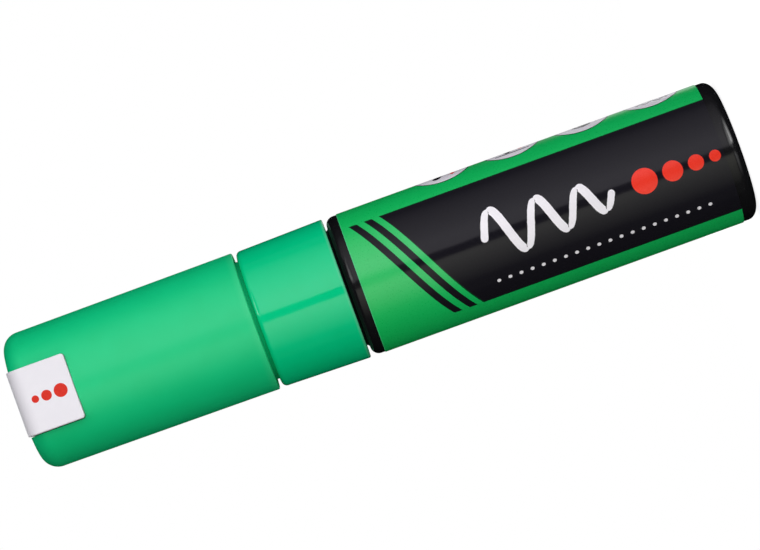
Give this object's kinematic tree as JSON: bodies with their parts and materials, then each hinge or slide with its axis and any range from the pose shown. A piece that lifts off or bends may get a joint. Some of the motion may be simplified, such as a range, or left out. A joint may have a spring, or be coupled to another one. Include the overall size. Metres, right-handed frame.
{
  "type": "liquid chalk marker",
  "caption": "Broad-tip liquid chalk marker: green cap with white end tab, green front collar, black barrel in a printed film, sprung valve behind a felt chisel nib.",
  "frame": {"origin": "centre of the tail's flat end, on which the marker stands", "axes": "+Z along the marker's axis from the tail to the cap; -Y is the side of the cap's white tab"},
  "size_m": [0.0276, 0.0276, 0.143],
  "materials": {
    "cap_green": "satin moulded polypropylene",
    "collar_green": "glossy moulded polypropylene",
    "tab_white": "satin white moulding",
    "black_plastic": "glossy black moulding",
    "label_film": "printed gloss film",
    "liner_plastic": "natural soft polyethylene",
    "nib_felt": "bonded polyester felt",
    "valve_plastic": "natural moulding",
    "seal_rubber": "soft rubber",
    "steel": "plain stainless steel"
  },
  "bodies": {
    "marker_body": {"tail_plug": "black_plastic", "barrel": "black_plastic", "barrel_label": "label_film", "valve_cage": "valve_plastic", "valve_spring": "steel", "valve_body": "valve_plastic", "neck_gasket": "seal_rubber", "front_holder": "collar_green"},
    "cap": {"cap_shell": "cap_green", "inner_cap": "liner_plastic", "cap_tab": "tab_white"},
    "nib_bar": {"nib": "nib_felt"},
    "valve_plunger": {"valve_stem": "valve_plastic", "valve_seal": "seal_rubber"},
    "stirring_balls": {"mixing_balls": "steel"}
  },
  "joints": [
    {"name": "cap_pull", "type": "slide", "parent": "marker_body", "child": "cap", "axis": [0, 0, 1], "range_m": [0, 0.045]},
    {"name": "nib_press", "type": "slide", "parent": "marker_body", "child": "nib_bar", "axis": [0, 0, -1], "range_m": [0, 0.002], "stiffness_N_per_m": 300, "springref_m": -0.004},
    {"name": "valve_press", "type": "slide", "parent": "marker_body", "child": "valve_plunger", "axis": [0, 0, -1], "range_m": [0, 0.002], "deforming": ["valve_spring"]},
    {"name": "ball_run", "type": "slide", "parent": "marker_body", "child": "stirring_balls", "axis": [0, 0, 1], "range_m": [0, 0.0635]}
  ],
  "couplings": [
    {"joint": "valve_press", "follows": "nib_press", "ratio": 1}
  ]
}
